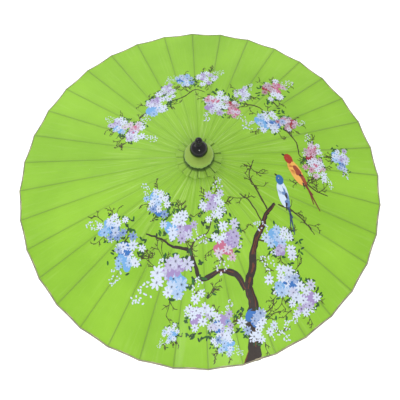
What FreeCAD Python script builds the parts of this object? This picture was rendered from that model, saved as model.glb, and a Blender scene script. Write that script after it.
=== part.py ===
"""Oil paper umbrella (East Asian parasol), open, as an assembly of separate pieces.

Frame: +Z up along the pole, origin at the centre of the pole's foot, millimetres. Rib 1 points along +X.

The ribs are hinged in a slotted hub near the pole's top. A runner slides on the pole and pushes one strut
against each rib. Threads strung through the hub, the runner, the rib joints and the rib tips are the hinge
pins. The cover lies on the ribs' upper edges, and a cloth cap and a turned finial close its centre.

A place in the plane through the pole and rib 1 is given as (radius, height). On a rib, "reach" runs from
the hub hinge to the tip, and heights are square to the line of the rib through that hinge.
"""

import FreeCAD
import Part

import math
import os

import Sketcher
from FreeCAD import Placement, Rotation, Vector

SIZES = {
    # The spread
    "rib_count": 36,
    "cone_angle": 19.5,
    "rib_reach": 415.0,
    "cover_overhang": 2.0,
    # The two rings of hinges on the pole
    "hinge_height": 525.0,
    "hub_ring": 21.0,
    "runner_drop": 135.0,
    "runner_ring": 17.0,
    # Rib: edges above and below the line of the rib, widths, and the thin tongue in the hub
    "rib_top": 2.5,
    "rib_belly_hub": 2.5,
    "rib_belly_joint": 5.0,
    "rib_belly_tip": 0.5,
    "rib_hub_width": 1.9,
    "rib_mid_width": 2.6,
    "rib_tip_width": 3.6,
    "tongue_reach": 14.0,
    "tongue_taper": 11.0,
    # Joint between rib and strut, and the slot that the strut folds into
    "joint_reach": 185.0,
    "joint_depth": 1.8,
    "slot_back": 12.0,
    "slot_forward": 80.0,
    "slot_ceiling": 0.9,
    # Strut: half its depth, its thin ends and thick middle
    "strut_half_depth": 1.9,
    "strut_end_width": 1.4,
    "strut_mid_width": 2.4,
    "strut_end_length": 12.0,
    # Play of ribs and struts in their slots
    "side_play": 0.15,
    "floor_play": 0.9,
    # Threads
    "thread_radius": 0.45,
    "thread_play": 0.2,
    "rim_thread_setback": 4.0,
    "rim_thread_height": 1.0,
    # Cover
    "cover_gap": 0.3,
    "cover_thickness": 0.8,
    "cover_clearance": 3.0,
    # Pole, and the glue line where a piece is fixed on it
    "pole_radius": 8.0,
    "pole_foot": 14.0,
    "spigot_radius": 5.0,
    "spigot_lift": 50.0,
    "glue_line": 0.05,
    "seat_gap": 0.2,
    # How far an open slot is sawn past the edge it opens on
    "saw_past": 1.0,
    # Hub
    "hub_margin": 3.0,
    "hub_half_height": 6.0,
    "hub_wall": 6.0,
    "hub_below": 24.0,
    "hub_above": 24.0,
    "edge_break": 1.0,
    # Runner
    "running_gap": 0.3,
    "runner_margin": 3.5,
    "runner_half_height": 5.0,
    "runner_wall": 4.5,
    "runner_bead_step": 1.5,
    "runner_bead_height": 5.0,
    "runner_above": 8.0,
    "runner_below": 39.0,
    # Spring catch in the pole, pressed in flush
    "catch_gap": 1.2,
    "catch_height": 28.8,
    "catch_tail": 4.0,
    "catch_depth": 5.0,
    "catch_width": 2.4,
    "catch_bevel": 0.43,
    "catch_pin_radius": 1.0,
    "catch_pin_length": 11.0,
    "catch_pin_play": 0.08,
    "catch_inset": 0.2,
    "catch_side_play": 0.3,
    "catch_room": 1.8,
    "catch_swing_room": 2.5,
    "spring_thickness": 0.4,
    "spring_width": 2.0,
    "spring_start": 8.0,
    "spring_length": 16.0,
    # Cloth cap over the hub
    "cloth_shell": 1.2,
    "skirt_radius": 48.0,
    "skirt_lift": 2.0,
    "skirt_waist_lift": 10.0,
    "binding_radius": 1.1,
    "crown_under_lift": 14.6,
    "crown_under_radius": 23.5,
    "crown_radius": 31.0,
    "crown_lift": 20.0,
    "crown_edge_round": 7.8,
    "crown_round": 13.0,
    "crown_top_radius": 16.5,
    "crown_top_lift": 31.3,
    # Finial
    "ball_radius": 18.5,
    "ball_lift": 49.0,
    "ball_collar": 10.5,
    "ball_seat": 6.0,
    "peg_radius": 2.5,
    "peg_length": 9.5,
    "knob_radius": 7.9,
    "knob_lift": 84.5,
    "knob_neck": 3.2,
    "knob_flange_height": 1.6,
    "knob_button": 1.2,
    # Grip
    "grip_foot": 6.0,
    "grip_foot_wall": 2.5,
    "grip_low": 20.0,
    "grip_wall": 4.5,
    "grip_high": 78.0,
    "grip_top": 95.0,
    "grip_top_wall": 2.0,
    "grip_ring_height": 6.0,
    "cap_face_radius": 7.0,
    "cap_edge_height": 4.0,
    "cap_edge_round": 5.5,
    "cap_peg_radius": 4.0,
}

COS = "cos(dim.cone_angle * 1deg)"
SIN = "sin(dim.cone_angle * 1deg)"
RUNNER_HEIGHT = "(dim.hinge_height - dim.runner_drop)"
THREAD_HOLE = "(dim.thread_radius + dim.thread_play)"
JOINT_RADIUS = f"(dim.hub_ring + dim.joint_reach * {COS} - dim.joint_depth * {SIN})"
JOINT_HEIGHT = f"(dim.hinge_height - dim.joint_reach * {SIN} - dim.joint_depth * {COS})"
STRUT_RUN = f"({JOINT_RADIUS} - dim.runner_ring)"
STRUT_RISE = f"({JOINT_HEIGHT} - {RUNNER_HEIGHT})"
STRUT_LENGTH = f"sqrt({STRUT_RUN}^2 + {STRUT_RISE}^2)"
RIB_SLOT_WIDTH = "(dim.strut_end_width + 2 * dim.side_play)"
RIM_RADIUS = f"(dim.hub_ring + dim.rib_reach * {COS} + dim.rib_top * {SIN} + dim.cover_overhang)"
HUB_RADIUS = "(dim.hub_ring + dim.hub_margin)"
HUB_NECK = "(dim.pole_radius + dim.hub_wall)"
COVER_OPENING = f"({HUB_RADIUS} + dim.cover_clearance)"
RUNNER_RADIUS = "(dim.runner_ring + dim.runner_margin)"
RUNNER_NECK = "(dim.pole_radius + dim.runner_wall)"
RUNNER_BEAD = f"({RUNNER_NECK} + dim.runner_bead_step)"
GRIP_FOOT_RADIUS = "(dim.pole_radius + dim.grip_foot_wall)"
GRIP_RADIUS = "(dim.pole_radius + dim.grip_wall)"
GRIP_TOP_RADIUS = "(dim.pole_radius + dim.grip_top_wall)"
CATCH_HEIGHT = f"({RUNNER_HEIGHT} - dim.runner_below - dim.catch_gap - dim.catch_height)"
CATCH_RADIUS = "(dim.pole_radius - dim.catch_inset - dim.catch_depth / 2)"

doc = FreeCAD.newDocument("umbrella")
dim = doc.addObject("Spreadsheet::Sheet", "dim")
for row, (alias, size) in enumerate(SIZES.items(), start=1):
    dim.set(f"A{row}", alias)
    dim.set(f"B{row}", str(size))
    dim.setAlias(f"B{row}", alias)
doc.recompute()


def value(formula):
    """What a formula in sheet aliases comes to."""
    return float(dim.evalExpression(formula))


def new_body(name, height="0"):
    """An empty body on the pole's axis at a height."""
    body = doc.addObject("PartDesign::Body", name)
    body.Label = name
    body.setExpression("Placement.Base.z", height)
    return body


def origin_of(body, role):
    """The plane or axis of a body's own origin that has a role, such as XZ_Plane."""
    return next(thing for thing in body.Origin.OriginFeatures if thing.Role == role)


def new_sketch(body, name, role):
    sketch = body.newObject("Sketcher::SketchObject", name)
    sketch.AttachmentSupport = [(origin_of(body, role), "")]
    sketch.MapMode = "FlatFace"
    return sketch


def pin_point(sketch, edge, point, x, y):
    """Holds a point of a sketch's edge (1 start, 2 end, 3 centre) at two formulas."""
    for kind, formula in (("DistanceX", x), ("DistanceY", y)):
        number = sketch.addConstraint(Sketcher.Constraint(kind, -1, 1, edge, point, value(formula)))
        sketch.setExpression(f"Constraints[{number}]", formula)


def pin_radius(sketch, edge, radius):
    number = sketch.addConstraint(Sketcher.Constraint("Radius", edge, value(radius)))
    sketch.setExpression(f"Constraints[{number}]", radius)


def bulging_arc(start, end, radius):
    """The short arc from start to end that bulges to the right of the way there."""
    way = end - start
    middle = (start + end) * 0.5
    right = Vector(way.y, -way.x, 0).normalize()
    sagitta = radius - math.sqrt(radius * radius - way.Length * way.Length / 4)
    return Part.Arc(start, middle + right * sagitta, end)


def outline(body, name, role, corners):
    """A closed sketch through corners (x, y), counter-clockwise. After a corner (x, y, radius) the edge is an
    arc that bulges outwards."""
    sketch = new_sketch(body, name, role)
    spots = [Vector(value(corner[0]), value(corner[1]), 0) for corner in corners]
    following = spots[1:] + spots[:1]
    for corner, start, end in zip(corners, spots, following):
        if len(corner) == 3:
            sketch.addGeometry(bulging_arc(start, end, value(corner[2])), False)
        else:
            sketch.addGeometry(Part.LineSegment(start, end), False)
    for edge, corner in enumerate(corners):
        sketch.addConstraint(Sketcher.Constraint("Coincident", edge, 2, (edge + 1) % len(corners), 1))
        pin_point(sketch, edge, 1, corner[0], corner[1])
        if len(corner) == 3:
            pin_radius(sketch, edge, corner[2])
    return sketch


def circles(body, name, role, *rounds):
    """A sketch of circles (x, y, radius)."""
    sketch = new_sketch(body, name, role)
    for edge, (x, y, radius) in enumerate(rounds):
        centre = Vector(value(x), value(y), 0)
        sketch.addGeometry(Part.Circle(centre, Vector(0, 0, 1), value(radius)), False)
        pin_point(sketch, edge, 3, x, y)
        pin_radius(sketch, edge, radius)
    return sketch


def add_feature(body, kind, sketch, length):
    """A pad or pocket of a sketch, half its length to each side of it."""
    feature = body.newObject(kind, sketch.Name + "_" + kind.split("::")[1].lower())
    feature.Profile = sketch
    feature.SideType = "Symmetric"
    feature.setExpression("Length", length)
    body.Tip = feature
    return feature


def pad(body, sketch, width):
    return add_feature(body, "PartDesign::Pad", sketch, width)


def pocket(body, sketch, width):
    return add_feature(body, "PartDesign::Pocket", sketch, width)


def repeat_around(body, *features):
    """Repeats features once for each rib, about the pole."""
    pattern = body.newObject("PartDesign::PolarPattern", body.Name + "_ring")
    pattern.Originals = list(features)
    pattern.Axis = (origin_of(body, "Z_Axis"), [""])
    pattern.Angle = 360
    pattern.setExpression("Occurrences", "dim.rib_count")
    body.Tip = pattern
    return pattern


def turned(name, height, corners):
    """A body turned about the pole's axis from (radius, height) corners."""
    body = new_body(name, height)
    turn = body.newObject("PartDesign::Revolution", name + "_turn")
    turn.Profile = outline(body, name + "_section", "XZ_Plane", corners)
    turn.ReferenceAxis = (turn.Profile[0], ["V_Axis"])
    turn.Angle = 360
    body.Tip = turn
    return body


def thread_tunnel(body, ring_radius):
    """The round tunnel for a thread, through every fin of a slotted piece."""
    groove = body.newObject("PartDesign::Groove", body.Name + "_tunnel")
    groove.Profile = circles(body, body.Name + "_tunnel_section", "XZ_Plane", (ring_radius, "0", THREAD_HOLE))
    groove.ReferenceAxis = (groove.Profile[0], ["V_Axis"])
    groove.Angle = 360
    body.Tip = groove


def slots_around(body, floor, rim, width, height):
    """Radial slots, one for each rib, cut from a floor radius out past the rim."""
    sketch = outline(
        body,
        body.Name + "_slot",
        "XY_Plane",
        [
            (floor, f"-({width}) / 2"),
            (f"{rim} + dim.saw_past", f"-({width}) / 2"),
            (f"{rim} + dim.saw_past", f"({width}) / 2"),
            (floor, f"({width}) / 2"),
        ],
    )
    repeat_around(body, pocket(body, sketch, height))


def ring_thread(name, ring_radius, height):
    """A thread strung in a circle."""
    thread = doc.addObject("Part::Torus", name)
    thread.Label = name
    thread.setExpression("Radius1", ring_radius)
    thread.setExpression("Radius2", "dim.thread_radius")
    thread.setExpression("Placement.Base.z", height)
    return thread


def make_pole():
    """Straight pole with a spigot for the finial, and a slot and a pin hole for the catch."""
    shoulder = "dim.hinge_height + dim.hub_above"
    tip = "dim.hinge_height + dim.spigot_lift"
    body = turned(
        "pole",
        "0",
        [
            ("0", "dim.pole_foot"),
            ("dim.pole_radius", "dim.pole_foot"),
            ("dim.pole_radius", shoulder),
            ("dim.spigot_radius", shoulder),
            ("dim.spigot_radius", tip),
            ("0", tip),
        ],
    )
    floor = f"{CATCH_RADIUS} - dim.catch_depth / 2 - dim.catch_room"
    mouth = "dim.pole_radius + dim.saw_past"
    low = f"{CATCH_HEIGHT} - dim.catch_tail - dim.catch_swing_room"
    high = f"{CATCH_HEIGHT} + dim.catch_height + dim.catch_swing_room"
    slot = outline(body, "catch_slot", "XZ_Plane", [(floor, low), (mouth, low), (mouth, high), (floor, high)])
    pocket(body, slot, "dim.catch_width + 2 * dim.catch_side_play")
    hole = circles(
        body,
        "catch_pin_hole",
        "XZ_Plane",
        (CATCH_RADIUS, CATCH_HEIGHT, "dim.catch_pin_radius + dim.glue_line"),
    )
    pocket(body, hole, "2 * dim.pole_radius")
    return body


def make_hub():
    """Turned hub, glued on the pole, with a slotted flange for the ribs' tongues."""
    bore = "dim.pole_radius + dim.glue_line"
    body = turned(
        "top_hub",
        "dim.hinge_height",
        [
            (bore, "-dim.hub_below"),
            (f"{HUB_NECK} - dim.edge_break", "-dim.hub_below"),
            (HUB_NECK, "dim.edge_break - dim.hub_below"),
            (HUB_NECK, "-dim.hub_half_height"),
            (f"{HUB_RADIUS} - dim.edge_break", "-dim.hub_half_height"),
            (HUB_RADIUS, "dim.edge_break - dim.hub_half_height"),
            (HUB_RADIUS, "dim.hub_half_height - dim.edge_break"),
            (f"{HUB_RADIUS} - dim.edge_break", "dim.hub_half_height"),
            (HUB_NECK, "dim.hub_half_height"),
            (HUB_NECK, "dim.hub_above"),
            (bore, "dim.hub_above"),
        ],
    )
    floor = "dim.hub_ring - (dim.rib_top + dim.rib_belly_hub) / 2 - dim.floor_play"
    width = "dim.rib_hub_width + 2 * dim.side_play"
    slots_around(body, floor, HUB_RADIUS, width, "4 * dim.hub_half_height")
    thread_tunnel(body, "dim.hub_ring")
    return body


def make_runner():
    """Turned runner that slides on the pole, with a slotted flange for the struts and a bead to grip."""
    bore = "dim.pole_radius + dim.running_gap"
    bead = "dim.runner_bead_height - dim.runner_below"
    body = turned(
        "runner",
        RUNNER_HEIGHT,
        [
            (bore, "-dim.runner_below"),
            (f"{RUNNER_BEAD} - dim.edge_break", "-dim.runner_below"),
            (RUNNER_BEAD, "dim.edge_break - dim.runner_below"),
            (RUNNER_BEAD, f"{bead} - dim.edge_break"),
            (RUNNER_NECK, f"{bead} + dim.edge_break"),
            (RUNNER_NECK, "-dim.runner_half_height"),
            (f"{RUNNER_RADIUS} - dim.edge_break", "-dim.runner_half_height"),
            (RUNNER_RADIUS, "dim.edge_break - dim.runner_half_height"),
            (RUNNER_RADIUS, "dim.runner_half_height - dim.edge_break"),
            (f"{RUNNER_RADIUS} - dim.edge_break", "dim.runner_half_height"),
            (RUNNER_NECK, "dim.runner_half_height"),
            (RUNNER_NECK, "dim.runner_above - dim.edge_break"),
            (f"{RUNNER_NECK} - dim.edge_break", "dim.runner_above"),
            (bore, "dim.runner_above"),
        ],
    )
    floor = "dim.runner_ring - dim.strut_half_depth - dim.floor_play"
    slots_around(body, floor, RUNNER_RADIUS, RIB_SLOT_WIDTH, "4 * dim.runner_half_height")
    thread_tunnel(body, "dim.runner_ring")
    return body


def make_rib(number):
    """Split-bamboo rib: tapered, deepest at its strut joint, slotted for the strut and bored for threads."""
    body = new_body(f"rib_{number + 1:02d}")
    body.setExpression(
        "Placement",
        f"placement(vector(0; 0; 0); rotation(vector(0; 0; 1); {number} * 360 / dim.rib_count))"
        " * placement(vector(dim.hub_ring; 0; dim.hinge_height); rotation(vector(0; 1; 0); dim.cone_angle))",
    )
    root_radius = "(dim.rib_top + dim.rib_belly_hub) / 2"
    root_middle = "(dim.rib_top - dim.rib_belly_hub) / 2"
    profile = outline(
        body,
        f"profile_{number}",
        "XZ_Plane",
        [
            ("0", "-dim.rib_belly_hub"),
            ("dim.joint_reach - dim.slot_back", "-dim.rib_belly_joint"),
            ("dim.joint_reach + dim.slot_back", "-dim.rib_belly_joint"),
            ("dim.rib_reach", "-dim.rib_belly_tip"),
            ("dim.rib_reach", "dim.rib_top"),
            ("0", "dim.rib_top"),
        ],
    )
    pad(body, profile, "dim.rib_tip_width")
    root = circles(body, f"root_{number}", "XZ_Plane", ("0", root_middle, root_radius))
    pad(body, root, "dim.rib_tip_width")
    for side in ("", "-"):
        taper = [
            (f"-2 * {root_radius}", f"{side}dim.rib_hub_width / 2"),
            ("dim.tongue_reach", f"{side}dim.rib_hub_width / 2"),
            ("dim.tongue_reach + dim.tongue_taper", f"{side}dim.rib_mid_width / 2"),
            ("dim.rib_reach", f"{side}dim.rib_tip_width / 2"),
            ("dim.rib_reach", f"{side}dim.rib_tip_width"),
            (f"-2 * {root_radius}", f"{side}dim.rib_tip_width"),
        ]
        shaving = outline(body, f"taper_{number}_{len(side)}", "XY_Plane", taper)
        pocket(body, shaving, "4 * dim.rib_belly_joint")
    slot = outline(
        body,
        f"slot_{number}",
        "XZ_Plane",
        [
            ("dim.joint_reach - dim.slot_back", "-2 * dim.rib_belly_joint"),
            ("dim.joint_reach + dim.slot_forward", "-2 * dim.rib_belly_joint"),
            ("dim.joint_reach + dim.slot_forward", "dim.slot_ceiling"),
            ("dim.joint_reach - dim.slot_back", "dim.slot_ceiling"),
        ],
    )
    pocket(body, slot, RIB_SLOT_WIDTH)
    holes = circles(
        body,
        f"holes_{number}",
        "XZ_Plane",
        ("0", "0", THREAD_HOLE),
        ("dim.joint_reach", "-dim.joint_depth", THREAD_HOLE),
        ("dim.rib_reach - dim.rim_thread_setback", "dim.rim_thread_height", THREAD_HOLE),
    )
    pocket(body, holes, "2 * dim.rib_tip_width")
    return body


def on_strut(along, across):
    """The place at a distance along a strut from its runner hinge and a distance across it, upwards."""
    radius = f"dim.runner_ring + (({along}) * {STRUT_RUN} - ({across}) * {STRUT_RISE}) / {STRUT_LENGTH}"
    height = f"(({along}) * {STRUT_RISE} + ({across}) * {STRUT_RUN}) / {STRUT_LENGTH}"
    return radius, height


def make_struts():
    """The struts, one for each rib: thin round ends in the slots, a thicker middle between them."""
    body = new_body("struts", RUNNER_HEIGHT)
    body.AllowCompound = True
    half = "dim.strut_half_depth"
    thick_from = "dim.strut_end_length"
    thick_to = f"{STRUT_LENGTH} - dim.slot_forward - dim.strut_half_depth"
    features = []
    for name, width, start, end in (
        ("strut_ends", "dim.strut_end_width", "0", STRUT_LENGTH),
        ("strut_middle", "dim.strut_mid_width", thick_from, thick_to),
    ):
        corners = [
            on_strut(start, f"-{half}"),
            on_strut(end, f"-{half}"),
            on_strut(end, half),
            on_strut(start, half),
        ]
        features.append(pad(body, outline(body, name, "XZ_Plane", corners), width))
    hinges = (on_strut("0", "0"), on_strut(STRUT_LENGTH, "0"))
    knuckles = circles(body, "strut_knuckles", "XZ_Plane", *((x, z, half) for x, z in hinges))
    features.append(pad(body, knuckles, "dim.strut_end_width"))
    holes = circles(body, "strut_holes", "XZ_Plane", *((x, z, THREAD_HOLE) for x, z in hinges))
    features.append(pocket(body, holes, "2 * dim.strut_mid_width"))
    repeat_around(body, *features)
    return body


def cover_height(radius, below):
    """The height of the cover's ridge lines at a radius, some way below their top."""
    lift = f"(dim.rib_top + dim.cover_gap + dim.cover_thickness - {below}) / {COS}"
    return f"dim.hinge_height + {lift} - ({radius} - dim.hub_ring) * {SIN} / {COS}"


def cover_cone(name, below):
    """A solid with one flat side between each pair of ribs, from the rim up to inside the opening."""
    sections = []
    for place, radius in (("rim", RIM_RADIUS), ("top", "dim.hub_ring")):
        section = doc.addObject("Part::RegularPolygon", f"{name}_{place}")
        section.setExpression("Polygon", "dim.rib_count")
        section.setExpression("Circumradius", radius)
        section.setExpression("Placement.Base.z", cover_height(radius, below))
        sections.append(section)
    cone = doc.addObject("Part::Loft", name)
    cone.Sections = sections
    cone.Solid = True
    cone.Ruled = True
    return cone


def make_canopy():
    """The cover: a thin many-sided cone with an opening round the hub."""
    opening = doc.addObject("Part::Cylinder", "cover_opening_cutter")
    opening.setExpression("Radius", COVER_OPENING)
    opening.setExpression("Height", f"dim.hinge_height + {RIM_RADIUS}")
    shell = doc.addObject("Part::Cut", "cover_shell")
    shell.Base = cover_cone("cover_outside", "0")
    shell.Tool = cover_cone("cover_inside", "dim.cover_thickness")
    canopy = doc.addObject("Part::Cut", "canopy")
    canopy.Label = "canopy"
    canopy.Base = shell
    canopy.Tool = opening
    return canopy


def make_catch():
    """Spring catch in the pole's slot, bevelled so that its top lies flat under the runner when it is out."""
    body = new_body("catch_lever", CATCH_HEIGHT)
    body.setExpression("Placement.Base.x", CATCH_RADIUS)
    half = "dim.catch_depth / 2"
    blade = outline(
        body,
        "catch_blade",
        "XZ_Plane",
        [
            (f"-{half}", "-dim.catch_tail"),
            (half, "-dim.catch_tail"),
            (half, "dim.catch_height"),
            (f"-{half}", "dim.catch_height - dim.catch_bevel"),
        ],
    )
    pad(body, blade, "dim.catch_width")
    eye = circles(body, "catch_eye", "XZ_Plane", ("0", "0", "dim.catch_pin_radius + dim.catch_pin_play"))
    pocket(body, eye, "2 * dim.catch_width")
    return body


def make_catch_pin():
    pin = doc.addObject("Part::Cylinder", "catch_pin")
    pin.Label = "catch_pin"
    pin.setExpression("Radius", "dim.catch_pin_radius")
    pin.setExpression("Height", "dim.catch_pin_length")
    pin.Placement = Placement(Vector(0, 0, 0), Rotation(Vector(1, 0, 0), 90))
    pin.setExpression("Placement.Base.x", CATCH_RADIUS)
    pin.setExpression("Placement.Base.y", "dim.catch_pin_length / 2")
    pin.setExpression("Placement.Base.z", CATCH_HEIGHT)
    return pin


def make_catch_spring():
    """Leaf spring on the slot's floor, leaning out against the back of the catch."""
    body = new_body("catch_spring", CATCH_HEIGHT)
    floor = f"{CATCH_RADIUS} - dim.catch_depth / 2 - dim.catch_room + dim.glue_line"
    back = f"{CATCH_RADIUS} - dim.catch_depth / 2 - dim.seat_gap"
    start = "dim.spring_start"
    end = "dim.spring_start + dim.spring_length"
    leaf = outline(
        body,
        "spring_leaf",
        "XZ_Plane",
        [
            (floor, start),
            (f"{floor} + dim.spring_thickness", start),
            (back, end),
            (f"{back} - dim.spring_thickness", end),
        ],
    )
    pad(body, leaf, "dim.spring_width")
    return body


def make_skirt():
    """Cloth skirt of the cap, spread over the hub from a collar tied on the hub's neck."""
    inside = f"{HUB_NECK} + dim.glue_line"
    outside = f"{inside} + dim.cloth_shell"
    collar_top = "dim.crown_under_lift - dim.seat_gap"
    return turned(
        "cap_skirt",
        "dim.hinge_height",
        [
            ("dim.skirt_radius", "dim.skirt_lift"),
            ("dim.skirt_radius", "dim.skirt_lift + dim.cloth_shell"),
            (outside, "dim.skirt_waist_lift + dim.cloth_shell"),
            (outside, collar_top),
            (inside, collar_top),
            (inside, "dim.skirt_waist_lift"),
        ],
    )


def make_binding():
    """Cord that ties the skirt's collar."""
    ring = doc.addObject("Part::Torus", "cap_binding")
    ring.Label = "cap_binding"
    ring.setExpression("Radius1", f"{HUB_NECK} + 2 * dim.glue_line + dim.cloth_shell + dim.binding_radius")
    ring.setExpression("Radius2", "dim.binding_radius")
    middle = "(dim.skirt_waist_lift + dim.cloth_shell + dim.crown_under_lift) / 2"
    ring.setExpression("Placement.Base.z", f"dim.hinge_height + {middle}")
    return ring


def make_crown():
    """Rounded, padded cloth crown of the cap, over the hub's neck."""
    neck = f"{HUB_NECK} + dim.glue_line"
    neck_top = "dim.hub_above + dim.seat_gap"
    spigot = "dim.spigot_radius + dim.glue_line"
    return turned(
        "cap_crown",
        "dim.hinge_height",
        [
            (neck, "dim.crown_under_lift"),
            ("dim.crown_under_radius", "dim.crown_under_lift", "dim.crown_edge_round"),
            ("dim.crown_radius", "dim.crown_lift", "dim.crown_round"),
            ("dim.crown_top_radius", "dim.crown_top_lift"),
            (spigot, "dim.crown_top_lift"),
            (spigot, neck_top),
            (neck, neck_top),
        ],
    )


def height_on_ball(centre, ball_radius, radius, sign):
    """The height at which a ball has a radius, above (+) or below (-) its centre."""
    return f"{centre} {sign} sqrt({ball_radius}^2 - {radius}^2)"


BALL_SEAT = height_on_ball("dim.ball_lift", "dim.ball_radius", "dim.ball_seat", "+")


def make_ball():
    """Lacquered ball of the finial, bored for the pole's spigot below and the knob's peg above."""
    bore = "dim.spigot_radius + dim.glue_line"
    bore_top = "dim.spigot_lift + dim.seat_gap"
    peg = "dim.peg_radius + dim.glue_line"
    peg_floor = f"{BALL_SEAT} - dim.peg_length - dim.seat_gap"
    foot = "dim.crown_top_lift + dim.glue_line"
    return turned(
        "finial_ball",
        "dim.hinge_height",
        [
            (bore, foot),
            ("dim.ball_collar", foot),
            (
                "dim.ball_collar",
                height_on_ball("dim.ball_lift", "dim.ball_radius", "dim.ball_collar", "-"),
                "dim.ball_radius",
            ),
            ("dim.ball_seat", BALL_SEAT),
            (peg, BALL_SEAT),
            (peg, peg_floor),
            ("0", peg_floor),
            ("0", bore_top),
            (bore, bore_top),
        ],
    )


def make_knob():
    """Lacquered knob on a thin neck, pegged into the ball."""
    seat = f"{BALL_SEAT} + dim.glue_line"
    under = height_on_ball("dim.knob_lift", "dim.knob_radius", "dim.knob_neck", "-")
    top = height_on_ball("dim.knob_lift", "dim.knob_radius", "dim.knob_button", "+")
    return turned(
        "finial_knob",
        "dim.hinge_height",
        [
            ("0", f"{BALL_SEAT} - dim.peg_length"),
            ("dim.peg_radius", f"{BALL_SEAT} - dim.peg_length"),
            ("dim.peg_radius", seat),
            ("dim.ball_seat", seat),
            ("dim.ball_seat", f"{seat} + dim.knob_flange_height"),
            ("dim.knob_neck", f"{seat} + 2 * dim.knob_flange_height"),
            ("dim.knob_neck", under, "dim.knob_radius"),
            ("dim.knob_button", top),
            ("0", top),
        ],
    )


def shoulder_round(rise, step):
    """The radius of an arc that climbs a rise while it steps in, and runs smoothly into a straight side."""
    return f"(({rise})^2 + ({step})^2) / (2 * ({step}))"


def make_grip():
    """Turned grip on the pole's lower end, straight in its middle and drawn in towards both ends."""
    bore = "dim.pole_radius + dim.glue_line"
    peg = "dim.cap_peg_radius + dim.glue_line"
    bore_foot = "dim.pole_foot - dim.glue_line"
    low_round = shoulder_round("dim.grip_low - dim.grip_foot", f"{GRIP_RADIUS} - {GRIP_FOOT_RADIUS}")
    high_round = shoulder_round("dim.grip_top - dim.grip_high", f"{GRIP_RADIUS} - {GRIP_TOP_RADIUS}")
    return turned(
        "grip",
        "0",
        [
            (peg, "dim.grip_foot"),
            (GRIP_FOOT_RADIUS, "dim.grip_foot", low_round),
            (GRIP_RADIUS, "dim.grip_low"),
            (GRIP_RADIUS, "dim.grip_high", high_round),
            (GRIP_TOP_RADIUS, "dim.grip_top"),
            (bore, "dim.grip_top"),
            (bore, bore_foot),
            (peg, bore_foot),
        ],
    )


def make_grip_ring():
    """Ring on the pole that covers the grip's upper end grain."""
    bore = "dim.pole_radius + dim.glue_line"
    foot = "dim.grip_top + dim.glue_line"
    top = "dim.grip_top + dim.grip_ring_height"
    return turned(
        "grip_ring",
        "0",
        [
            (bore, foot),
            (GRIP_TOP_RADIUS, foot),
            (GRIP_TOP_RADIUS, f"{top} - dim.edge_break"),
            (f"{GRIP_TOP_RADIUS} - dim.edge_break", top),
            (bore, top),
        ],
    )


def make_end_cap():
    """Rounded button pegged into the grip's foot. Its flat face is the umbrella's lowest point."""
    top = "dim.grip_foot - dim.glue_line"
    peg_top = "dim.pole_foot - dim.seat_gap"
    return turned(
        "end_cap",
        "0",
        [
            ("0", "0"),
            ("dim.cap_face_radius", "0", "dim.cap_edge_round"),
            (GRIP_FOOT_RADIUS, "dim.cap_edge_height"),
            (GRIP_FOOT_RADIUS, top),
            ("dim.cap_peg_radius", top),
            ("dim.cap_peg_radius", peg_top),
            ("0", peg_top),
        ],
    )


rim_reach = "(dim.rib_reach - dim.rim_thread_setback)"
pieces = [
    make_pole(),
    make_hub(),
    ring_thread("hub_thread", "dim.hub_ring", "dim.hinge_height"),
    make_runner(),
    ring_thread("runner_thread", "dim.runner_ring", RUNNER_HEIGHT),
    make_struts(),
    ring_thread("joint_thread", JOINT_RADIUS, JOINT_HEIGHT),
    ring_thread(
        "rim_cord",
        f"dim.hub_ring + {rim_reach} * {COS} + dim.rim_thread_height * {SIN}",
        f"dim.hinge_height - {rim_reach} * {SIN} + dim.rim_thread_height * {COS}",
    ),
    make_canopy(),
    make_catch(),
    make_catch_pin(),
    make_catch_spring(),
    make_skirt(),
    make_binding(),
    make_crown(),
    make_ball(),
    make_knob(),
    make_grip(),
    make_grip_ring(),
    make_end_cap(),
]
pieces += [make_rib(number) for number in range(SIZES["rib_count"])]
doc.recompute()

for thing in doc.Objects:
    if {"Invalid", "Error"} & set(thing.State):
        raise RuntimeError(f"{thing.Label} failed to build: {thing.State}")
for piece in pieces:
    if piece.Shape.isNull() or not piece.Shape.isValid() or piece.Shape.Volume <= 0:
        raise RuntimeError(f"{piece.Label} has no valid solid")

os.makedirs("parts", exist_ok=True)
for piece in pieces:
    piece.Shape.exportStep(f"parts/{piece.Label}.step")
print(f"{len(pieces)} pieces written")
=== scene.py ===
import math
import random

import bmesh
import bpy
from mathutils import Matrix, Vector


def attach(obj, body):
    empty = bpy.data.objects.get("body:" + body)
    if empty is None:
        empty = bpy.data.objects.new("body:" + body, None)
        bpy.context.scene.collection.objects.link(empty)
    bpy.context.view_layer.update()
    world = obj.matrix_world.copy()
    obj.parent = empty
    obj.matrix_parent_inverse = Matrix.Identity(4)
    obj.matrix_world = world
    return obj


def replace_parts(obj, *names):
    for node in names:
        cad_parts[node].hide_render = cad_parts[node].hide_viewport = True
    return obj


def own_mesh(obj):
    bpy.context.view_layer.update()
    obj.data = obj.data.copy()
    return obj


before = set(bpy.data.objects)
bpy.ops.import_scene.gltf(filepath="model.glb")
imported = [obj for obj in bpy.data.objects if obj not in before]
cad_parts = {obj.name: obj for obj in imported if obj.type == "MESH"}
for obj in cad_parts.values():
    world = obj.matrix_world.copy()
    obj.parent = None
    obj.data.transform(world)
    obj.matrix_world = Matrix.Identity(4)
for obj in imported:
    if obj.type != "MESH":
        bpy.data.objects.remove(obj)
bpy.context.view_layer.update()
scene = bpy.context.scene
scene.view_settings.view_transform = "Standard"


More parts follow.
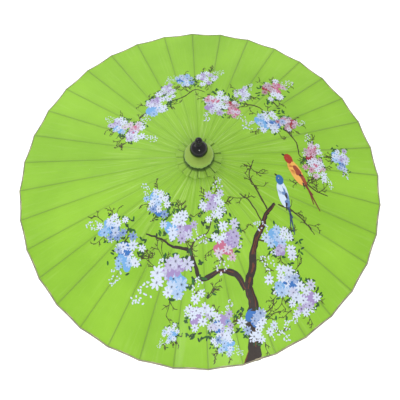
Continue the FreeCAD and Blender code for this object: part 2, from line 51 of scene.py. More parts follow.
# ---- Camera -------------------------------------------------------------------------------
# The parasol stands open on its end cap. It is seen from above and in front, 22 degrees off
# the line of its pole, by a normal lens aimed at the middle of the rim.
aim = Vector((0, 0, 0.3893))
distance = 1.411
tilt = math.radians(22.2)
bearing = math.radians(-91.57)
lens_roll = math.radians(1.03)
back = Vector((math.cos(bearing) * math.sin(tilt), math.sin(bearing) * math.sin(tilt), math.cos(tilt)))
camera_data = bpy.data.cameras.new("camera")
camera_data.sensor_width = 36.0
camera_data.lens = 54.95
camera_data.shift_x = 0.0015
camera_data.shift_y = -0.042
camera = bpy.data.objects.new("camera", camera_data)
scene.collection.objects.link(camera)
scene.camera = camera
look = (-back).to_track_quat("-Z", "Y").to_matrix().to_4x4()
level = Matrix.Translation(aim + back * distance) @ look
camera.matrix_world = level @ Matrix.Rotation(-lens_roll, 4, "Z")


# ---- Studio -------------------------------------------------------------------------------
# A matt white floor and the soft light of a white room, with a large softbox behind on the
# left and a small one in front. None of it belongs to the parasol.
def add(tree, kind, inputs=(), output=0, **settings):
    """Adds a shader node with these settings and inputs, and returns one of its outputs."""
    node = tree.nodes.new("ShaderNode" + kind)
    for key, value in settings.items():
        setattr(node, key, value)
    for key, value in dict(inputs).items():
        if isinstance(value, bpy.types.NodeSocket):
            tree.links.new(value, node.inputs[key])
        else:
            node.inputs[key].default_value = value
    return node.outputs[output]


def ramp(tree, factor, *stops):
    """A colour ramp: each stop is (position, colour)."""
    node = tree.nodes.new("ShaderNodeValToRGB")
    tree.links.new(factor, node.inputs["Fac"])
    elements = node.color_ramp.elements
    while len(elements) < len(stops):
        elements.new(0.5)
    for element, (position, colour) in zip(elements, stops):
        element.position = position
        element.color = (*colour, 1)
    return node.outputs["Color"]


def mapped(tree, value, low, high, start=0.0, end=1.0):
    """The value carried over from the range start to end into the range low to high."""
    ends = {"From Min": start, "From Max": end, "To Min": low, "To Max": high}
    return add(tree, "MapRange", {"Value": value, **ends})


def surface(name, **constants):
    """A new material with its Principled shader's constants set, its node tree and its shader."""
    made = bpy.data.materials.new(name)
    made.use_nodes = True
    shader = made.node_tree.nodes["Principled BSDF"]
    for key, value in constants.items():
        shader.inputs[key.replace("_", " ").title().replace("Ior", "IOR")].default_value = value
    return made, made.node_tree, shader


def wire(tree, shader, colour=None, roughness=None, bump=None, depth=0.0003, strength=0.5):
    """Connects a material's colour, roughness and bump height to its shader."""
    if colour is not None:
        tree.links.new(colour, shader.inputs["Base Color"])
    if roughness is not None:
        tree.links.new(roughness, shader.inputs["Roughness"])
    if bump is not None:
        normal = add(tree, "Bump", {"Height": bump, "Distance": depth, "Strength": strength})
        tree.links.new(normal, shader.inputs["Normal"])


def finished(name, bm, material, smooth=True):
    """Turns a bmesh into a piece at the origin with this material."""
    mesh = bpy.data.meshes.new(name)
    bm.to_mesh(mesh)
    bm.free()
    mesh.materials.append(material)
    mesh.shade_smooth() if smooth else mesh.shade_flat()
    piece = bpy.data.objects.new(name, mesh)
    scene.collection.objects.link(piece)
    return piece


floor_paint, tree, shader = surface("floor_paint", roughness=0.9, emission_strength=0.5)
shader.inputs["Emission Color"].default_value = (1, 1, 1, 1)
grain = add(tree, "TexNoise", {"Vector": add(tree, "TexCoord", output=3), "Scale": 3.0})
wire(tree, shader, ramp(tree, grain, (0.3, (0.88, 0.88, 0.88)), (0.7, (0.92, 0.92, 0.92))))
bm = bmesh.new()
bmesh.ops.create_grid(bm, x_segments=1, y_segments=1, size=12.0)
finished("floor", bm, floor_paint, smooth=False)

world = bpy.data.worlds.new("room")
scene.world = world
world.use_nodes = True
sky = world.node_tree.nodes["Background"]
sky.inputs["Color"].default_value = (1.0, 1.0, 1.0, 1)
seen_directly = add(world.node_tree, "LightPath")
world.node_tree.links.new(mapped(world.node_tree, seen_directly, 0.80, 0.92), sky.inputs["Strength"])
softboxes = (("softbox_left", (-1.1, 1.0, 2.1), 1.5, 15), ("softbox_front", (0.2, -1.6, 2.2), 0.5, 14))
for name, place, side, power in softboxes:
    light = bpy.data.lights.new(name, "AREA")
    light.shape = "SQUARE"
    light.size = side
    light.energy = power
    lamp = bpy.data.objects.new(name, light)
    scene.collection.objects.link(lamp)
    lamp.location = place
    lamp.rotation_euler = (aim - Vector(place)).to_track_quat("-Z", "Y").to_euler()


# ---- Cover --------------------------------------------------------------------------------
# One disc of thin cotton on paper, oiled and dyed lime green. It is glued along the 36 ribs,
# so each field between two ribs sags a little and the rim is drawn in between the rib tips.
RIBS = 36
HALF = math.pi / RIBS
SLOPE = math.radians(19.5)
HINGE_RING = 0.021
CREST = 0.52882
EAVES = 0.415
COLLAR = 0.027
SAG = 0.0018
SAG_GROWTH = 1.3
SCALLOP = 0.0010
STRIP_HALF = 0.0015
STRIP_RISE = 0.0003
STRIP_TUCK = 0.00012
HEM_FOLD = ((-0.0022, 0.0003), (0.0002, 0.00035), (0.0008, -0.0002), (0.0002, -0.0009), (-0.003, -0.0007))
LIME_LOW = (0.232, 0.485, 0.016)
LIME_HIGH = (0.282, 0.56, 0.025)


def ridge(reach):
    """The height of the cover's ridge over a rib, at this reach from the pole."""
    return CREST - (reach - HINGE_RING) * math.tan(SLOPE)


def field(side, reach):
    """A point of the cover in a rib's own frame; side runs from -1 to 1 between the seams."""
    off = abs(side)
    dip = 1 - (1 - off) ** 2
    along = reach * (1 - off * math.sin(HALF) ** 2)
    across = side * reach * math.sin(HALF) * math.cos(HALF)
    return Vector((along, across, ridge(reach) - SAG * dip * (reach / EAVES) ** SAG_GROWTH))


def over(x, y):
    """The height of the cover above a point of a rib's own plan, with the raised strip."""
    reach = x + abs(y) * math.tan(HALF)
    side = min(1.0, abs(y) / (reach * math.sin(HALF) * math.cos(HALF)))
    rise = STRIP_RISE * max(0.0, 1 - (y / STRIP_HALF) ** 2)
    return field(side, reach).z + rise


def edge(side):
    """The reach of the cover's edge."""
    return EAVES - SCALLOP * (1 - (1 - abs(side)) ** 2)


def about(index):
    """The turn that takes a rib's own frame to its place around the pole."""
    return Matrix.Rotation(2 * HALF * index, 4, "Z")


def keep_rest(piece):
    """Stores where each vertex lies when the parasol is open, for the materials to read."""
    rest = piece.data.attributes.new("rest", "FLOAT_VECTOR", "POINT")
    for spot, vertex in zip(rest.data, piece.data.vertices):
        spot.vector = vertex.co
    return piece


def follow(piece, index):
    """The piece turns with its rib, and has a mesh of its own."""
    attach(piece, f"rib_{index + 1:02d}")
    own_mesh(piece)
    return piece


def times(tree, value, factor):
    """The value multiplied by a number or by another value."""
    return add(tree, "Math", {0: value, 1: factor}, operation="MULTIPLY")


def stretched(tree, spot, factors):
    """The point with each of its coordinates multiplied, to draw a pattern out."""
    return add(tree, "VectorMath", {0: spot, 1: factors}, operation="MULTIPLY")


def over_laid(tree, share, under, top):
    """A colour with this share of a second colour over it."""
    return add(tree, "Mix", {"Factor": share, "A": under, "B": (*top, 1)}, output=2, data_type="RGBA")


def round_the_pole(tree, spot):
    """A point's angle round the pole, its reach from the pole and its height."""
    reach = add(tree, "VectorMath", {0: stretched(tree, spot, (1, 1, 0))}, output=1, operation="LENGTH")
    axes = tree.nodes.new("ShaderNodeSeparateXYZ")
    tree.links.new(spot, axes.inputs[0])
    angle = add(tree, "Math", {0: axes.outputs["Y"], 1: axes.outputs["X"]}, operation="ARCTAN2")
    return angle, reach, axes.outputs["Z"]


def cloth(name, tint_low, tint_high, line=False, with_painted_shade=False):
    """The dyed cloth: mottled by the brush, streaked along the ribs, with a weave and oil, and, if asked,
    darkened by painted shade in the skirt's folds.
    """
    made, tree, shader = surface(name, roughness=0.5, sheen_weight=0.15, coat_weight=0.06)
    rest = add(tree, "Attribute", attribute_name="rest", output=1)
    angle, reach, _ = round_the_pole(tree, rest)
    polar = add(tree, "CombineXYZ", {"X": times(tree, angle, 26.0), "Y": times(tree, reach, 5.0)})
    streak = add(tree, "TexNoise", {"Vector": polar, "Scale": 1.6, "Detail": 6.0, "Roughness": 0.65})
    brush = add(tree, "TexNoise", {"Vector": rest, "Scale": 7.0, "Detail": 4.0})
    fibre = add(tree, "TexNoise", {"Vector": rest, "Scale": 420.0, "Detail": 3.0})
    near = mapped(tree, reach, 0.85, 0.10, 0.05, 0.24)
    wash = times(tree, near, mapped(tree, streak, 0.0, 1.0, 0.52, 0.75))
    colour = over_laid(tree, wash, ramp(tree, brush, (0.35, tint_low), (0.65, tint_high)), (0.62, 0.82, 0.30))
    if line:
        fade = mapped(tree, reach, 0.0, 0.40, 0.12, 0.34)
        shade = times(tree, fade, mapped(tree, streak, 0.8, 1.0, 0.3, 0.6))
        colour = over_laid(tree, shade, colour, (0.17, 0.25, 0.055))
    if with_painted_shade:
        # Painted shade: dark green where the skirt's folds lap under and under the crown's edge.
        painted_shade_share = add(tree, "Attribute", attribute_name="skirt_shade", output=2)
        colour = over_laid(tree, painted_shade_share, colour, (0.035, 0.085, 0.008))
    warp = add(tree, "TexWave", {"Vector": rest, "Scale": 260.0}, output=1, bands_direction="X")
    weft = add(tree, "TexWave", {"Vector": rest, "Scale": 260.0}, output=1, bands_direction="Y")
    cross = add(tree, "Math", {0: warp, 1: weft}, operation="ADD")
    relief = add(tree, "Math", {0: cross, 1: fibre, 2: 0.4}, operation="MULTIPLY_ADD")
    relief = add(tree, "Math", {0: streak, 1: 6.0, 2: relief}, operation="MULTIPLY_ADD")
    wire(tree, shader, colour, mapped(tree, fibre, 0.42, 0.62), relief, depth=0.0004, strength=0.35)
    through = add(tree, "BsdfTranslucent", {"Color": colour})
    both = add(tree, "MixShader", {0: 0.2, 1: shader.outputs[0], 2: through})
    tree.links.new(both, tree.nodes["Material Output"].inputs["Surface"])
    return made


def on_web(side, share):
    """A point of the field of cloth, share of the way from the collar to the edge."""
    return field(side, COLLAR + (edge(side) - COLLAR) * share)


def on_strip(side, share):
    """A point of the raised strip over the rib, whose edges are tucked into the cloth."""
    across = side * STRIP_HALF
    along = COLLAR + (EAVES - COLLAR) * share
    sunk = STRIP_TUCK if abs(side) > 0.99 else 0.0
    return Vector((along, across, over(along, across) - sunk))


def on_hem(side, share):
    """A point of the hem, folded round the edge from above to below."""
    out, up = HEM_FOLD[round(share * (len(HEM_FOLD) - 1))]
    return field(side, edge(side) + out) + Vector((0, 0, up))


def laid(name, index, columns, rows, place, material, flip=True):
    """One rib's part of the cover: a grid with each vertex put where place says."""
    bm = bmesh.new()
    bmesh.ops.create_grid(bm, x_segments=columns, y_segments=rows, size=1.0)
    for vertex in bm.verts:
        vertex.co = place(vertex.co.x, (vertex.co.y + 1) / 2)
    if flip:
        bmesh.ops.reverse_faces(bm, faces=bm.faces)
    bmesh.ops.transform(bm, matrix=about(index), verts=bm.verts)
    return keep_rest(finished(f"{name}_{index + 1:02d}", bm, material))


cover_cloth = cloth("cover_cloth", LIME_LOW, LIME_HIGH)
strip_cloth = cloth("strip_cloth", LIME_LOW, LIME_HIGH, line=True)
hem_cloth, tree, shader = surface("hem_cloth", roughness=0.7, sheen_weight=0.2)
rest = add(tree, "Attribute", attribute_name="rest", output=1)
worn = add(tree, "TexNoise", {"Vector": rest, "Scale": 60.0, "Detail": 4.0})
wire(tree, shader, ramp(tree, worn, (0.35, (0.20, 0.17, 0.13)), (0.7, (0.36, 0.33, 0.22))), None, worn)

webs = []
for index in range(RIBS):
    web = laid("cover_web", index, 16, 22, on_web, cover_cloth)
    strip = laid("cover_strip", index, 4, 22, on_strip, strip_cloth)
    hem = laid("cover_hem", index, 16, len(HEM_FOLD) - 1, on_hem, hem_cloth, flip=False)
    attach(strip, f"rib_{index + 1:02d}")
    follow(hem, index)
    webs.append(follow(web, index))
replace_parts(webs[0], "canopy")


# ---- Painting on the cover ----------------------------------------------------------------
# A blossoming tree and two small birds, painted by hand in thick poster colour on the cover.
# Every brush stroke is a flat patch of paint; the patches are cut where two fields meet.
random.seed(11)
CLOSE = 1e-6
PAINT_EDGE = EAVES - 0.0022
TRUNK_COAT = 0.00010
LIMB_COAT = 0.00011
BOUGH_COAT = 0.00012
STREAK_COAT = 0.00013
TWIG_COAT = 0.00014
LEAF_COAT = 0.00016
SMUDGE_COAT = 0.00022
BLOOM_COAT = 0.00028
DOT_COAT = 0.00030
BIRD_COAT = 0.00050
painted_fields = {}


def wet():
    """A new, empty layer of paint, with a colour per corner and a height over the cloth."""
    art = bmesh.new()
    art.loops.layers.float_color.new("pigment")
    art.verts.layers.float.new("layer")
    return art


def patch(art, place, turn, length, width, inner, outer, height, sides=8):
    """One dab of paint: an oval, coloured from its middle to its edge."""
    pigment, layer = art.loops.layers.float_color["pigment"], art.verts.layers.float["layer"]
    made = bmesh.ops.create_circle(art, cap_ends=True, cap_tris=True, segments=sides, radius=1.0)["verts"]
    for vertex in made:
        rim = min(1.0, vertex.co.length)
        spot = Vector((vertex.co.x * length, vertex.co.y * width))
        spot.rotate(Matrix.Rotation(turn, 2))
        vertex[layer] = height
        vertex.co = (place[0] + spot.x, place[1] + spot.y, 0)
        for loop in vertex.link_loops:
            loop[pigment] = (*[a + (b - a) * rim for a, b in zip(inner, outer)], 1)


def brush(art, points, widths, colour, height, wobble=0.0):
    """One stroke of the brush through these points, as wide as given at each of them."""
    pigment, layer = art.loops.layers.float_color["pigment"], art.verts.layers.float["layer"]
    steps = len(points) - 1
    made = bmesh.ops.create_grid(art, x_segments=steps, y_segments=1, size=1.0)["verts"]
    for vertex in made:
        station = round((vertex.co.x + 1) / 2 * steps)
        before = Vector(points[max(0, station - 1)])
        after = Vector(points[min(steps, station + 1)])
        normal = (after - before).normalized().orthogonal()
        wide = widths[station] * (1 + random.uniform(-wobble, wobble)) * vertex.co.y
        spot = Vector(points[station]) + normal * wide
        tone = random.uniform(0.8, 1.2)
        vertex[layer] = height
        vertex.co = (spot.x, spot.y, 0)
        for loop in vertex.link_loops:
            loop[pigment] = (*[min(1, c * tone) for c in colour], 1)


def bend(points, steps=6, stray=0.0):
    """A smooth line through a few points, cut into short steps."""
    line = []
    ends = [points[0], *points, points[-1]]
    for a, b, c, d in zip(ends, ends[1:], ends[2:], ends[3:]):
        for step in range(steps):
            t = step / steps
            line.append([0.5 * (2 * q + (r - p) * t + (2 * p - 5 * q + 4 * r - s) * t ** 2
                                + (3 * q - p - 3 * r + s) * t ** 3) + random.uniform(-stray, stray)
                         for p, q, r, s in zip(a, b, c, d)])
    return line + [list(points[-1])]


def cut(art, place, across, **sides):
    """Cuts a layer of paint along a plane through place, square to across."""
    bmesh.ops.bisect_plane(art, geom=[*art.verts, *art.edges, *art.faces], dist=CLOSE, plane_co=place,
                           plane_no=across, **sides)


def dry(art):
    """Lays a layer of paint on the cover: cuts it at the seams between fields and at the edges
    of the raised strips, and adds each part to the paint on its own field."""
    for index in range(RIBS // 2):
        seam = (2 * index + 1) * HALF
        cut(art, (0, 0, 0), Vector((-math.sin(seam), math.cos(seam), 0)))
    for index in range(RIBS):
        outwards = about(index) @ Vector((1, 0, 0))
        if any(vertex.co.length > EAVES - 0.01 for vertex in art.verts):
            cut(art, outwards * PAINT_EDGE, outwards, clear_outer=True)
    home = {}
    art.faces.index_update()
    for face in art.faces:
        middle = face.calc_center_median()
        home[face.index] = round(math.atan2(middle.y, middle.x) / (2 * HALF)) % RIBS
    for index in set(home.values()):
        part = art.copy()
        part.faces.ensure_lookup_table()
        elsewhere = [face for face in part.faces if home[face.index] != index]
        bmesh.ops.delete(part, geom=elsewhere, context="FACES")
        bmesh.ops.transform(part, matrix=about(-index), verts=part.verts)
        for offset in (-1.0, -0.5, 0.0, 0.5, 1.0):
            cut(part, (0, offset * STRIP_HALF, 0), (0, 1, 0))
        heights = part.verts.layers.float["layer"]
        for vertex in part.verts:
            vertex.co.z = over(vertex.co.x, vertex.co.y) + vertex[heights]
        part.normal_update()
        bmesh.ops.reverse_faces(part, faces=[face for face in part.faces if face.normal.z < 0])
        bmesh.ops.transform(part, matrix=about(index), verts=part.verts)
        sheet = bpy.data.meshes.new("dried")
        part.to_mesh(sheet)
        part.free()
        painted_fields.setdefault(index, wet()).from_mesh(sheet)
        bpy.data.meshes.remove(sheet)
    art.free()


def taper(line, start, end):
    """Widths that run evenly from start to end along a line."""
    return [start + (end - start) * i / (len(line) - 1) for i in range(len(line))]


BARK = (0.022, 0.012, 0.008)
RUST = (0.13, 0.03, 0.008)
TWIG = (0.045, 0.035, 0.008)
LEAF = (0.012, 0.075, 0.012)
WHITE = (0.62, 0.69, 0.82)
LILAC = (0.33, 0.24, 0.50)
BLUE = (0.030, 0.15, 0.46)
SKY = (0.16, 0.38, 0.70)
PINK = (0.50, 0.13, 0.23)
CRIMSON = (0.30, 0.015, 0.035)
HEART = (0.01, 0.01, 0.04)
HEART_EDGE = (0.03, 0.04, 0.1)

tree_paint = wet()
trunk = bend([(0.084, -0.43), (0.099, -0.375), (0.094, -0.33), (0.1, -0.29), (0.086, -0.25)], 5, 0.001)
brush(tree_paint, trunk, taper(trunk, 0.0155, 0.0085), BARK, TRUNK_COAT, 0.12)
sunlit = bend([(0.066, -0.425), (0.08, -0.4), (0.09, -0.372)])
brush(tree_paint, sunlit, taper(sunlit, 0.0045, 0.002), RUST, BOUGH_COAT, 0.2)
right = bend([(0.088, -0.262), (0.101, -0.22), (0.108, -0.175), (0.128, -0.135), (0.139, -0.108),
              (0.158, -0.088)], 5, 0.001)
brush(tree_paint, right, taper(right, 0.009, 0.0028), BARK, LIMB_COAT, 0.2)
left = bend([(0.084, -0.262), (0.066, -0.232), (0.03, -0.226), (-0.006, -0.24), (-0.018, -0.212),
             (-0.03, -0.183), (-0.062, -0.173), (-0.086, -0.156), (-0.118, -0.143)], 5, 0.001)
brush(tree_paint, left, taper(left, 0.0065, 0.0012), BARK, LIMB_COAT, 0.25)
for streak in range(26):
    line, width = random.choice(((trunk, 0.010), (right, 0.0045), (right, 0.003), (left[:16], 0.003)))
    start = random.randrange(len(line) - 5)
    shift = random.uniform(-width, width) * (1 - start / len(line) * 0.6)
    part = [[x + shift, y + shift * 0.3] for x, y in line[start:start + 5]]
    brush(tree_paint, part, taper(part, 0.0011, 0.0003), RUST, STREAK_COAT + streak * 0.000003, 0.2)
boughs = (
    [(0.1, -0.31), (0.125, -0.308), (0.15, -0.285)],
    [(0.094, -0.33), (0.072, -0.322), (0.05, -0.338)],
    [(-0.028, -0.186), (-0.012, -0.16), (0.012, -0.148), (0.024, -0.112)],
    [(0.112, -0.165), (0.135, -0.168), (0.155, -0.18)],
    [(-0.13, 0.13), (-0.108, 0.152)],
    [(-0.062, 0.172), (-0.03, 0.182), (0.0, 0.205), (0.022, 0.196)],
    [(0.115, 0.158), (0.145, 0.152), (0.162, 0.128)],
    [(0.196, 0.098), (0.222, 0.062), (0.226, 0.028), (0.248, 0.022)],
    [(0.14, -0.1), (0.122, -0.066), (0.106, -0.03), (0.118, 0.006)],
    [(0.128, -0.13), (0.104, -0.088), (0.082, -0.072)],
    [(0.165, -0.09), (0.195, -0.1), (0.222, -0.124), (0.242, -0.15)],
    [(0.216, -0.02), (0.25, -0.05), (0.282, -0.062)],
    [(0.19, 0.16), (0.176, 0.178), (0.172, 0.2)])
for points in boughs:
    line = bend(points, 5, 0.0008)
    brush(tree_paint, line, taper(line, 0.0019, 0.0009), TWIG, BOUGH_COAT, 0.3)


def twig(art, place, turn, length, forks=2):
    """A bare twig with a few side shoots."""
    tip = [place[0] + length * math.cos(turn), place[1] + length * math.sin(turn)]
    middle = [(a + b) / 2 + random.uniform(-0.15, 0.15) * length for a, b in zip(place, tip)]
    line = bend([place, middle, tip], 3)
    brush(art, line, taper(line, 0.0009, 0.00045), TWIG, TWIG_COAT, 0.2)
    if forks:
        for at in random.sample(range(1, len(line)), forks + 1):
            aside = turn + random.choice((-1, 1)) * random.uniform(0.5, 1.0)
            twig(art, line[at], aside, length * 0.42, forks - 1)


shoots = ((0.116, -0.02), (0.11, -0.05), (0.09, -0.08), (0.2, -0.105), (0.225, -0.13), (0.26, -0.055),
          (0.235, -0.035))
for place in shoots:
    for turn in (random.uniform(-0.9, 0.9), random.uniform(1.6, 3.4)):
        twig(tree_paint, place, turn, random.uniform(0.02, 0.034))
dry(tree_paint)


def flower(art, place, radius, tint, height):
    """An open flower of narrow petals, deeper in colour towards its dark heart."""
    start = random.uniform(0, 6)
    for petal in range(8):
        turn = start + petal * 2 * math.pi / 8 + random.uniform(-0.15, 0.15)
        reach = radius * random.uniform(0.46, 0.62)
        spot = (place[0] + reach * math.cos(turn), place[1] + reach * math.sin(turn))
        fresh = [c * 0.6 + w * 0.4 for c, w in zip(tint, WHITE)]
        patch(art, spot, turn, radius * 0.46, radius * 0.2, tint, fresh, height, 6)
    deep = [c * 0.55 for c in tint]
    patch(art, place, start, radius * 0.34, radius * 0.3, deep, tint, height + 0.000003, 8)
    patch(art, place, start, radius * 0.15, radius * 0.12, HEART, HEART_EDGE, height + 0.000006, 6)


def cluster(place, radius, tints, away, seed):
    """A cluster of flowers over a smudge of colour, with leaves and twigs at its edge, that
    trails off in dots of white towards away, an angle."""
    random.seed(seed)
    art = wet()

    def near(turn, far):
        stretch = 1.22 if abs(math.cos(turn - away)) > 0.7 else 0.84
        return [place[0] + far * stretch * math.cos(turn), place[1] + far * stretch * math.sin(turn)]

    for shoot in range(4):
        turn = away + random.uniform(-2.4, 2.4)
        twig(art, near(turn, radius * 0.7), turn, radius * random.uniform(0.6, 0.9))
    for leaf in range(30):
        turn = away + math.pi + random.gauss(0, 1.1)
        green = [c * random.uniform(0.5, 1.6) for c in LEAF]
        spot = near(turn, radius * random.uniform(0.7, 1.15))
        patch(art, spot, random.uniform(0, 3), radius * 0.14, radius * 0.06, green, green,
              LEAF_COAT + leaf * 0.000002, 6)
    for index, tint in enumerate(tints):
        for smudge in range(0 if tint == WHITE else 5):
            turn = away + index * 2.1 + random.uniform(-0.6, 0.6)
            spot = near(turn, radius * random.uniform(0.1, 0.6))
            patch(art, spot, random.uniform(0, 3), radius * 0.36, radius * 0.24, tint, tint,
                  SMUDGE_COAT + (index * 5 + smudge) * 0.000003, 10)
    for bloom in range(12):
        turn = bloom * 2.4 + random.uniform(-0.3, 0.3)
        base = tints[int((turn - away) / 2.1 + 0.5) % len(tints)]
        white = random.choice((0.1, 0.35, 0.6, 0.9))
        tint = [c * (1 - white) + w * white for c, w in zip(base, WHITE)]
        spot = near(turn, radius * (0.06 + 0.8 * math.sqrt(bloom / 12)))
        flower(art, spot, radius * random.uniform(0.24, 0.34), tint, BLOOM_COAT + bloom * 0.000012)
    for trail, spread in ((away, 22), (away + 1.5, 8), (away - 1.6, 8)):
        for dot in range(spread):
            turn = trail + random.uniform(-0.4, 0.4) * (1 - dot / (spread + 4))
            pale = [c * 0.35 + w * 0.65 for c, w in zip(tints[0], WHITE)]
            spot = near(turn, radius * (0.8 + dot * 0.035))
            patch(art, spot, random.uniform(0, 3), radius * 0.06, radius * 0.04, pale, WHITE, DOT_COAT, 6)
    dry(art)


clusters = (
    ((-0.176, 0.122), 0.024, (LILAC, SKY, WHITE), 2.4), ((-0.14, 0.095), 0.032, (WHITE, PINK, LILAC), -0.6),
    ((-0.088, 0.165), 0.034, (SKY, WHITE, LILAC), -2.2), ((-0.064, 0.205), 0.022, (LILAC, WHITE), 1.6),
    ((-0.022, 0.238), 0.024, (BLUE, SKY), 2.8), ((0.026, 0.244), 0.027, (WHITE, LILAC), 0.5),
    ((0.045, 0.16), 0.034, (LILAC, WHITE, PINK), -2.0), ((0.078, 0.145), 0.028, (PINK, CRIMSON, WHITE), -0.9),
    ((0.108, 0.19), 0.024, (LILAC, WHITE), 0.9), ((0.184, 0.208), 0.034, (PINK, CRIMSON, WHITE), 0.6),
    ((0.164, 0.112), 0.036, (SKY, BLUE, WHITE), -2.8), ((0.206, 0.112), 0.024, (CRIMSON, PINK), 0.2),
    ((0.258, 0.036), 0.028, (PINK, CRIMSON), 1.7), ((0.262, -0.002), 0.028, (WHITE, PINK), -0.9),
    ((0.325, 0.03), 0.026, (BLUE, LILAC, SKY), -1.4), ((-0.09, -0.082), 0.029, (SKY, BLUE, WHITE), 2.2),
    ((-0.048, -0.135), 0.036, (LILAC, WHITE, SKY), -0.5), ((0.024, -0.1), 0.032, (LILAC, WHITE), 1.3),
    ((0.05, -0.165), 0.037, (PINK, LILAC, WHITE), -1.8), ((-0.188, -0.122), 0.034, (SKY, BLUE, WHITE), 2.9),
    ((-0.158, -0.18), 0.037, (SKY, WHITE, BLUE), -2.2), ((-0.068, -0.235), 0.05, (WHITE, SKY, LILAC), -2.7),
    ((0.166, -0.168), 0.036, (SKY, LILAC, WHITE), 2.5), ((0.17, -0.25), 0.038, (WHITE, SKY, BLUE), 2.3),
    ((0.205, -0.285), 0.037, (WHITE, LILAC), -2.2), ((-0.012, -0.305), 0.037, (WHITE, LILAC), 1.6),
    ((-0.076, -0.342), 0.019, (WHITE, SKY), -2.4), ((0.032, -0.335), 0.03, (LILAC, BLUE), 1.2),
    ((0.034, -0.365), 0.024, (SKY, WHITE), -0.5), ((0.108, -0.335), 0.038, (WHITE, BLUE), -0.4))
for seed, (place, radius, tints, away) in enumerate(clusters):
    cluster(place, radius, tints, away, seed)

BODY_COAT = 0.00052
BREAST_COAT = 0.00053
WING_COAT = 0.00055
QUILL_COAT = 0.00057
HEAD_COAT = 0.00058
EYE_COAT = 0.00060
QUILL = (0.02, 0.015, 0.02)
BEAK = (0.03, 0.02, 0.01)
PUPIL = (0.01, 0.01, 0.01)
PUPIL_LIGHT = (0.9, 0.9, 0.8)


def bird(head, turn, size, crown, breast, wing, tail):
    """A small perching bird of no particular kind, seen from the side, its tail hanging."""

    def at(along, across):
        return (head[0] + size * (along * math.cos(turn) - across * math.sin(turn)),
                head[1] + size * (along * math.sin(turn) + across * math.cos(turn)))

    art = wet()
    for reach, shift in ((2.9, 0.10), (2.5, -0.02), (2.1, 0.2)):
        line = bend([at(1.2, 0.05), at(1.8, 0.12), at(reach, shift)], 4)
        brush(art, line, taper(line, 0.07 * size, 0.02 * size), tail, BIRD_COAT)
    patch(art, at(0.85, 0.0), turn, 0.68 * size, 0.27 * size, breast, breast, BODY_COAT, 14)
    patch(art, at(0.6, -0.1), turn, 0.36 * size, 0.17 * size, crown, breast, BREAST_COAT, 12)
    patch(art, at(1.0, 0.1), turn + 0.08, 0.56 * size, 0.15 * size, wing, wing, WING_COAT, 12)
    for feather in range(5):
        root = at(0.7 + feather * 0.1, 0.15 - feather * 0.02)
        line = bend([root, at(1.3 + feather * 0.1, 0.16 - feather * 0.05)], 3)
        brush(art, line, taper(line, 0.03 * size, 0.012 * size), QUILL, QUILL_COAT)
    patch(art, at(0.1, 0.0), turn, 0.27 * size, 0.2 * size, crown, crown, HEAD_COAT, 12)
    patch(art, at(-0.16, -0.12), turn + 0.7, 0.11 * size, 0.05 * size, BEAK, BEAK, QUILL_COAT, 6)
    patch(art, at(0.03, -0.04), 0, 0.035 * size, 0.035 * size, PUPIL_LIGHT, PUPIL, EYE_COAT, 8)
    dry(art)


bird((0.196, 0.022), -1.12, 0.047, crown=(0.36, 0.025, 0.006), breast=(0.80, 0.42, 0.08),
     wing=(0.30, 0.05, 0.02), tail=(0.16, 0.03, 0.02))
bird((0.172, -0.03), -1.4, 0.043, crown=(0.02, 0.13, 0.36), breast=(0.60, 0.72, 0.86),
     wing=(0.12, 0.22, 0.44), tail=(0.03, 0.06, 0.14))

paint, tree, shader = surface("poster_colour", roughness=0.55)
colour = add(tree, "Attribute", attribute_name="pigment", output=0)
rest = add(tree, "Attribute", attribute_name="rest", output=1)
bristle = add(tree, "TexNoise", {"Vector": rest, "Scale": 260.0, "Detail": 3.0})
wire(tree, shader, colour, mapped(tree, bristle, 0.45, 0.7), bristle, 0.0003, 0.4)
for index, art in painted_fields.items():
    painted = keep_rest(finished(f"painting_{index + 1:02d}", art, paint, smooth=False))
    follow(painted, index)


# ---- Pleated skirt of the cap --------------------------------------------------------------
# A strip of the same green cloth, gathered round the neck of the hub and ironed into uneven
# knife pleats that lap over one another. It hides the inner edge of the cover.
# The lapped-under part of each pleat and the cloth just under the crown's edge are painted dark green as
# painted shade.
PLEATS = 15
PLEAT_STEPS = 14
PLEAT_LIFT = 0.0032
SHADED_TUCK = range(7, 14)
SKIRT_NECK = 0.0149
SKIRT_TOP = 0.5362
SKIRT_FALL = 0.0078
random.seed(4)
pleat_width = [random.uniform(0.75, 1.3) for _ in range(PLEATS)]
pleat_start = [2 * math.pi * sum(pleat_width[:k]) / sum(pleat_width) for k in range(PLEATS + 1)]
pleat_reach = [random.uniform(0.0455, 0.0485) for _ in range(PLEATS)]
pleat_fold = (
    (0.0, 0.0, 0.0), (0.12, 0.10, 0.2), (0.3, 0.3, 0.5), (0.5, 0.52, 0.8), (0.7, 0.74, 1.0),
    (0.86, 0.94, 1.1), (0.95, 1.08, 1.15), (1.0, 1.16, 1.0), (1.0, 1.17, 0.75), (0.95, 1.12, 0.55),
    (0.86, 1.02, 0.4), (0.8, 0.92, 0.25), (0.82, 0.9, 0.08), (0.92, 0.95, 0.0), (1.0, 1.0, 0.0))
bm = bmesh.new()
skirt_shade = bm.verts.layers.float.new("skirt_shade")
bmesh.ops.create_grid(bm, x_segments=PLEATS * PLEAT_STEPS, y_segments=16, size=1.0)
